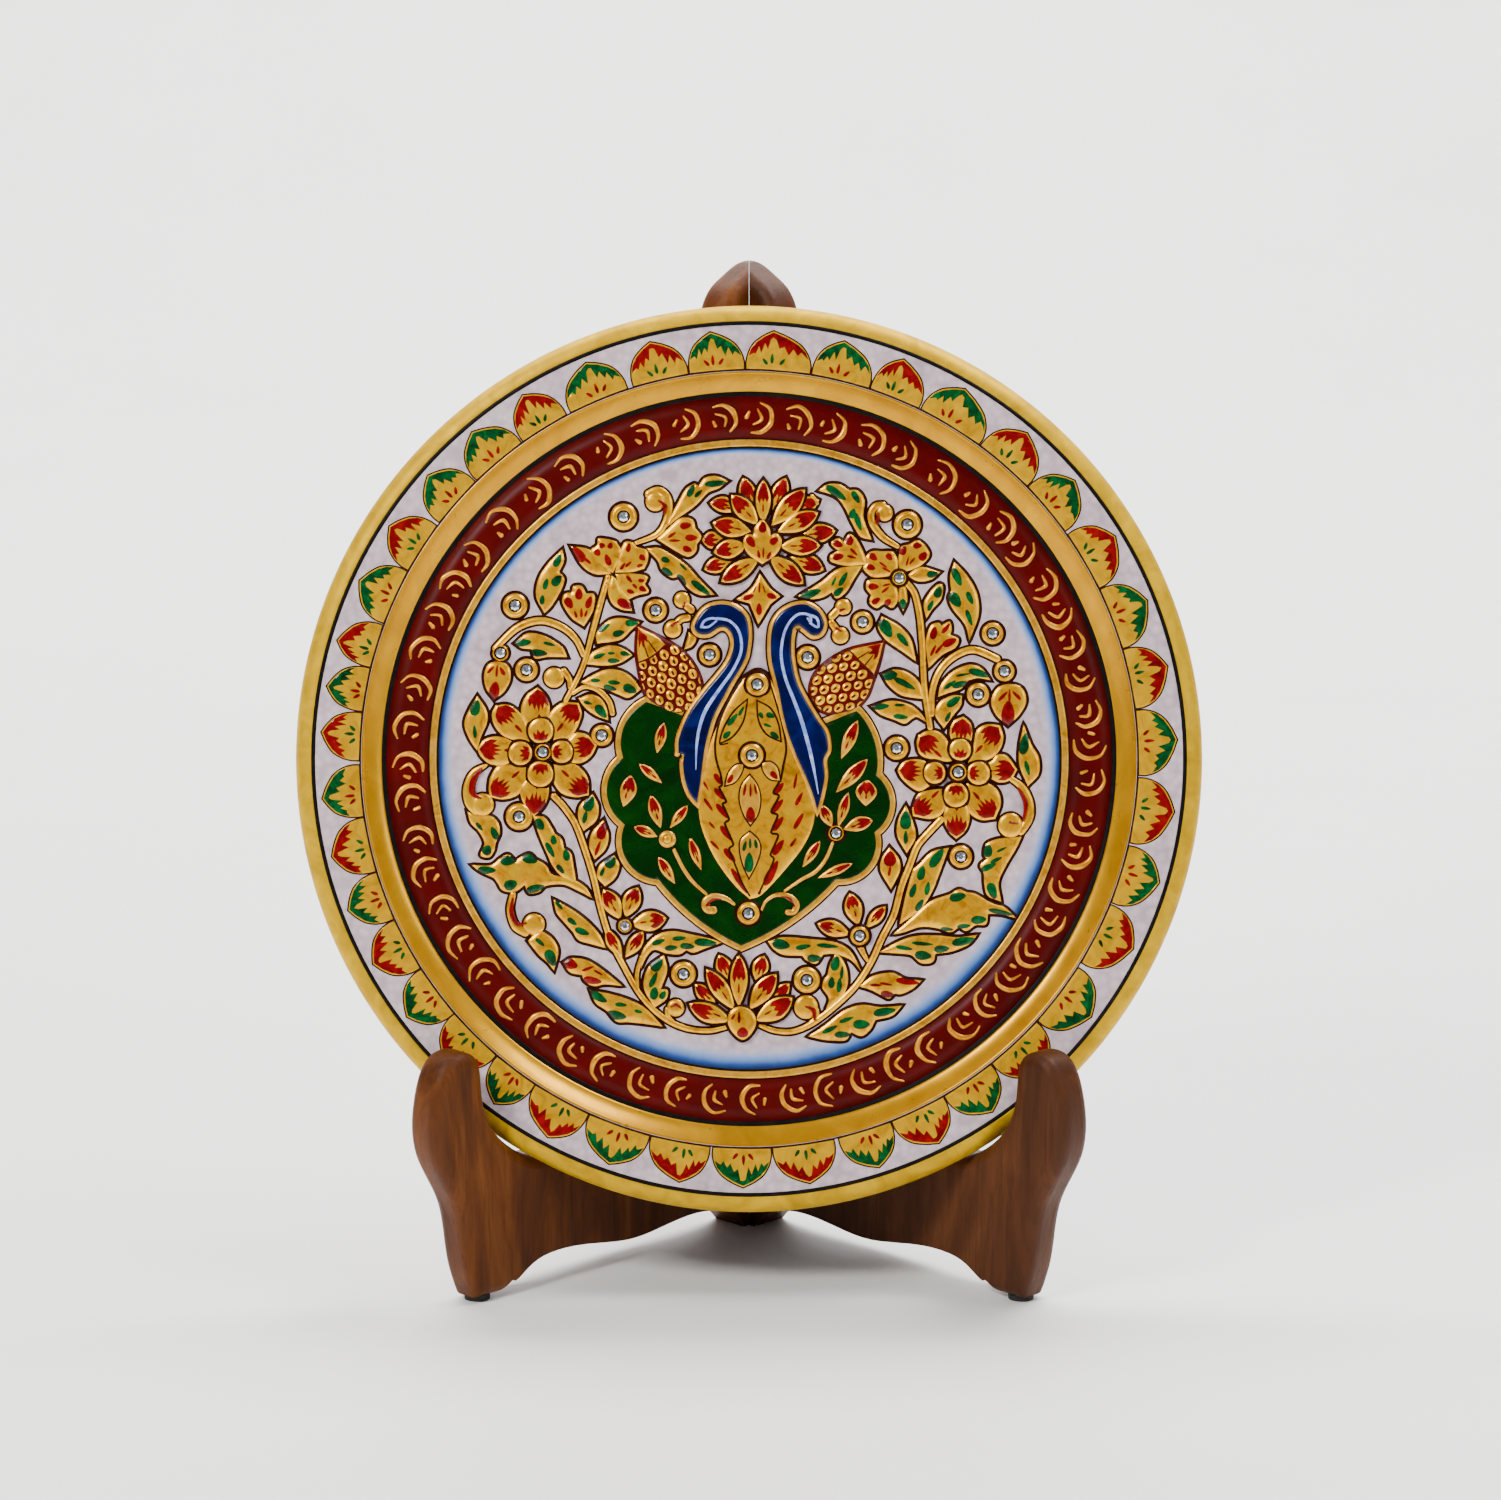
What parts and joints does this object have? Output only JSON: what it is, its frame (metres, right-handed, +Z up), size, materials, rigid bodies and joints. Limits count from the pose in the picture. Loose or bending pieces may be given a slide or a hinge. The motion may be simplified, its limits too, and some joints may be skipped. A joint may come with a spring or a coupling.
{
  "type": "display plate on folding stand",
  "caption": "Round painted marble display plate with raised enamel ornament, leaning in a folding two-leaf wooden plate stand.",
  "frame": {"origin": "on the surface that the stand stands on, under the middle of the set's box", "axes": "+Z up, the plate faces -Y and leans back towards +Y, +X to the viewer's right"},
  "size_m": [0.254, 0.1015, 0.2824],
  "materials": {
    "marble": "polished white marble, faint lilac-grey crystal",
    "gold_relief": "raised gesso with gold leaf and lacquer",
    "green_enamel": "glossy dark green lacquer",
    "navy_enamel": "glossy navy lacquer",
    "set_glass": "foil-backed cut glass",
    "sheesham": "oiled rosewood",
    "hinge_brass": "worn brass",
    "steel": "plain steel",
    "pad": "dark felt-faced rubber"
  },
  "bodies": {
    "hinge_pins": {"hinge_pin_upper": "steel", "hinge_pin_lower": "steel"},
    "leaf_left": {"foot_pad_left": "pad", "hinge_lower_left": "hinge_brass", "hinge_screws_left": "steel", "hinge_upper_left": "hinge_brass", "leaf_left": "sheesham"},
    "leaf_right": {"foot_pad_right": "pad", "hinge_lower_right": "hinge_brass", "hinge_screws_right": "steel", "hinge_upper_right": "hinge_brass", "leaf_right": "sheesham"},
    "plate": {"band_scrolls": "gold_relief", "bird_body": "gold_relief", "fan_sprigs": "gold_relief", "flower_left": "gold_relief", "flower_right": "gold_relief", "fruit_left": "gold_relief", "fruit_right": "gold_relief", "glass_stones": "set_glass", "leaves_left": "gold_relief", "leaves_right": "gold_relief", "lotus_bottom": "gold_relief", "lotus_top": "gold_relief", "neck_left": "navy_enamel", "neck_right": "navy_enamel", "plate_body": "marble", "small_flowers": "gold_relief", "stems_left": "gold_relief", "stems_right": "gold_relief", "stone_collars": "gold_relief", "tail_fan": "green_enamel"}
  },
  "joints": [
    {"name": "plate_lift", "type": "slide", "parent": "hinge_pins", "child": "plate", "axis": [0, 0, 1], "range_m": [0, 0.24]},
    {"name": "leaf_left_fold", "type": "hinge", "parent": "hinge_pins", "child": "leaf_left", "pos_m": [0, 0.0341, 0.14], "axis": [0, 0, 1], "range_deg": [0, 45]},
    {"name": "leaf_right_fold", "type": "hinge", "parent": "hinge_pins", "child": "leaf_right", "pos_m": [0, 0.0341, 0.14], "axis": [0, 0, -1], "range_deg": [0, 45]}
  ],
  "couplings": [
    {"joint": "leaf_left_fold", "follows": "plate_lift", "rad_per_m": 3.27},
    {"joint": "leaf_right_fold", "follows": "plate_lift", "rad_per_m": 3.27}
  ]
}
